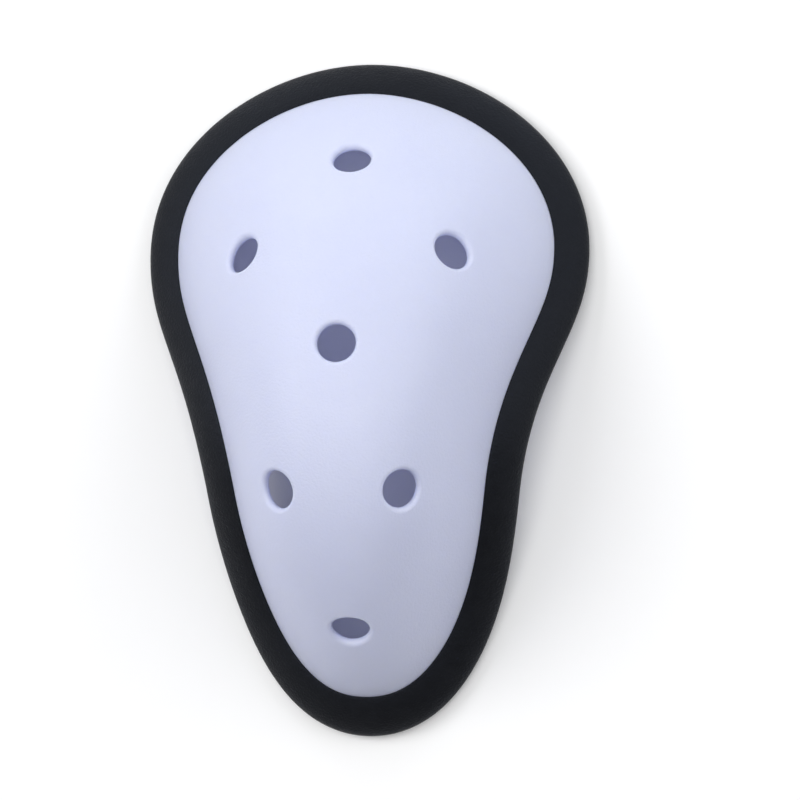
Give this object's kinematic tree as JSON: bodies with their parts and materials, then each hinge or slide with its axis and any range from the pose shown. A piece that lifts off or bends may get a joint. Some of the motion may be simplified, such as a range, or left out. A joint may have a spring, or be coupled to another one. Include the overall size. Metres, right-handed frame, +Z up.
{
  "type": "groin guard",
  "caption": "Pear-shaped groin guard: a hollow domed hard shell with round air vents, edged by a soft rubber rim that arches over the legs.",
  "frame": {"origin": "on the surface that the rim rests on, below the middle of the outline's box", "axes": "+Y along the length towards the wide crown, +X across the width, +Z up out of the domed shell"},
  "size_m": [0.0958, 0.145, 0.0503],
  "materials": {
    "shell_plastic": "satin white with a cool tint",
    "rim_rubber": "matt black"
  },
  "bodies": {
    "root": {"shell": "shell_plastic", "rim": "rim_rubber"}
  },
  "joints": []
}
